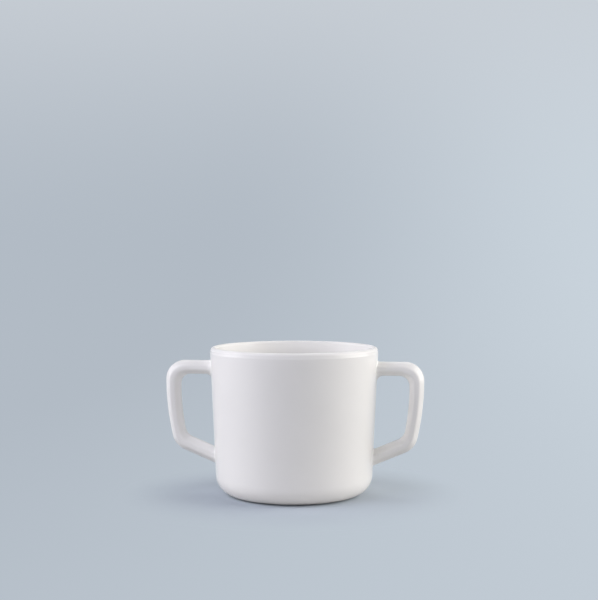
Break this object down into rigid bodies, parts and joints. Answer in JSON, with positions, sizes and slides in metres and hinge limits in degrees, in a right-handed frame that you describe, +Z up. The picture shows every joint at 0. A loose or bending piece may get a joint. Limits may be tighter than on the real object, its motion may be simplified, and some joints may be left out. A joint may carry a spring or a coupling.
{
  "type": "two-handled cup",
  "caption": "White moulded cup with a tapered round body, a rounded lip band and a D-shaped loop handle with bevelled sides on each side, for drinking with both hands.",
  "frame": {"origin": "centre of the foot, on the surface that the cup stands on", "axes": "+X through the middle of the right handle, +Z up along the axis of the round body"},
  "size_m": [0.1236, 0.08, 0.07],
  "materials": {
    "white_melamine": "plain white melamine with a soft moulded gloss, no decoration"
  },
  "bodies": {
    "root": {"cup_body": "white_melamine", "left_handle": "white_melamine", "right_handle": "white_melamine"}
  },
  "joints": []
}
